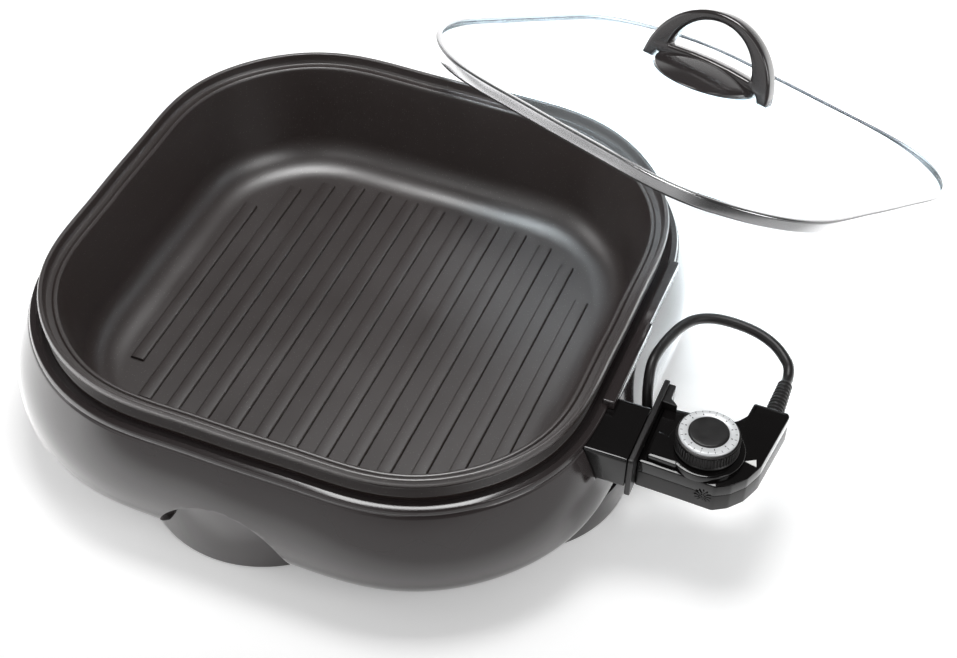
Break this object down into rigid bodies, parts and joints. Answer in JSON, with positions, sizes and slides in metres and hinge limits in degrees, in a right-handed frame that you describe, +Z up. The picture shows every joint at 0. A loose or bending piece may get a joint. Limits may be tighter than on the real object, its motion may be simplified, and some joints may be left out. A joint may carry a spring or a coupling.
{
  "type": "electric skillet",
  "caption": "Rounded-square electric skillet with a ribbed pan, moulded base, plug-in control probe with a dial and a loose domed glass lid leaning on its back rim.",
  "frame": {"origin": "Centre of the base on the plane of its four foot pads, under the middle of the pan.", "axes": "+Z up, +X towards the control probe, -Y towards the front side that faces the user; the lid leans behind the pan on the +Y side."},
  "size_m": [0.4767, 0.5599, 0.1374],
  "materials": {
    "housing_plastic": "dark satin-gloss moulded thermoset plastic",
    "cover_metal": "plain rolled aluminium sheet",
    "screw_steel": "zinc-plated steel",
    "foot_rubber": "matt black rubber",
    "pan_coating": "die-cast aluminium under a dark speckled nonstick coating",
    "element_steel": "drawn steel sheath with heat tint",
    "terminal_metal": "nickel-plated steel",
    "bush_ceramic": "unglazed steatite",
    "guard_plastic": "black moulded plastic, satin",
    "lid_glass": "clear tempered glass, faint blue-green edge",
    "rim_steel": "rolled stainless steel band",
    "handle_plastic": "glossy black moulded plastic",
    "seal_rubber": "grey silicone",
    "probe_plastic": "black moulded plastic, satin",
    "probe_gloss": "black moulded plastic, polished top",
    "contact_brass": "stamped brass",
    "mark_white": "white pad-printed triangle",
    "dial_plastic": "black moulded plastic with a fluted skirt",
    "ring_silver": "silver foil ring with plain scale strokes",
    "cap_plastic": "black plastic with a fine texture",
    "cord_jacket": "black flexible jacket",
    "tie_plastic": "white plastic tie"
  },
  "bodies": {
    "base": {"base_housing": "housing_plastic", "base_cover": "cover_metal", "cover_screws": "screw_steel", "foot_pads": "foot_rubber", "pan": "pan_coating", "heating_element": "element_steel", "terminal_pins": "terminal_metal", "pin_bushes": "bush_ceramic", "sensor_sleeve": "element_steel", "terminal_guard": "guard_plastic", "guard_screws": "screw_steel"},
    "lid": {"lid_glass": "lid_glass", "lid_rim": "rim_steel", "lid_handle": "handle_plastic", "lid_handle_plinth": "handle_plastic", "lid_handle_seal": "seal_rubber", "lid_handle_washer": "screw_steel", "lid_handle_screw": "screw_steel"},
    "probe": {"probe_lower_housing": "probe_plastic", "probe_upper_housing": "probe_gloss", "probe_flange": "probe_plastic", "probe_nose": "probe_plastic", "pin_receptacles": "contact_brass", "sensor_rod": "terminal_metal", "thermostat_bracket": "screw_steel", "bimetal_strip": "contact_brass", "contact_leaf": "contact_brass", "pointer_mark": "mark_white", "probe_screws": "screw_steel", "strain_relief": "cord_jacket", "cord_lead": "cord_jacket", "cord_coil": "cord_jacket", "cord_tail": "cord_jacket", "coil_tie": "tie_plastic", "plug_body": "cord_jacket", "plug_blades": "contact_brass"},
    "dial": {"dial_knob": "dial_plastic", "dial_ring": "ring_silver", "dial_cap": "cap_plastic", "dial_shaft": "screw_steel"}
  },
  "joints": [
    {"name": "lid_lift", "type": "slide", "parent": "base", "child": "lid", "axis": [0, 0, 1], "range_m": [0, 0.16]},
    {"name": "probe_pull", "type": "slide", "parent": "base", "child": "probe", "axis": [1, 0, 0], "range_m": [0, 0.05]},
    {"name": "dial_turn", "type": "hinge", "parent": "probe", "child": "dial", "pos_m": [0.2237, -0.0531, 0.08], "axis": [0, 0, 1], "range_deg": [0, 300]}
  ]
}
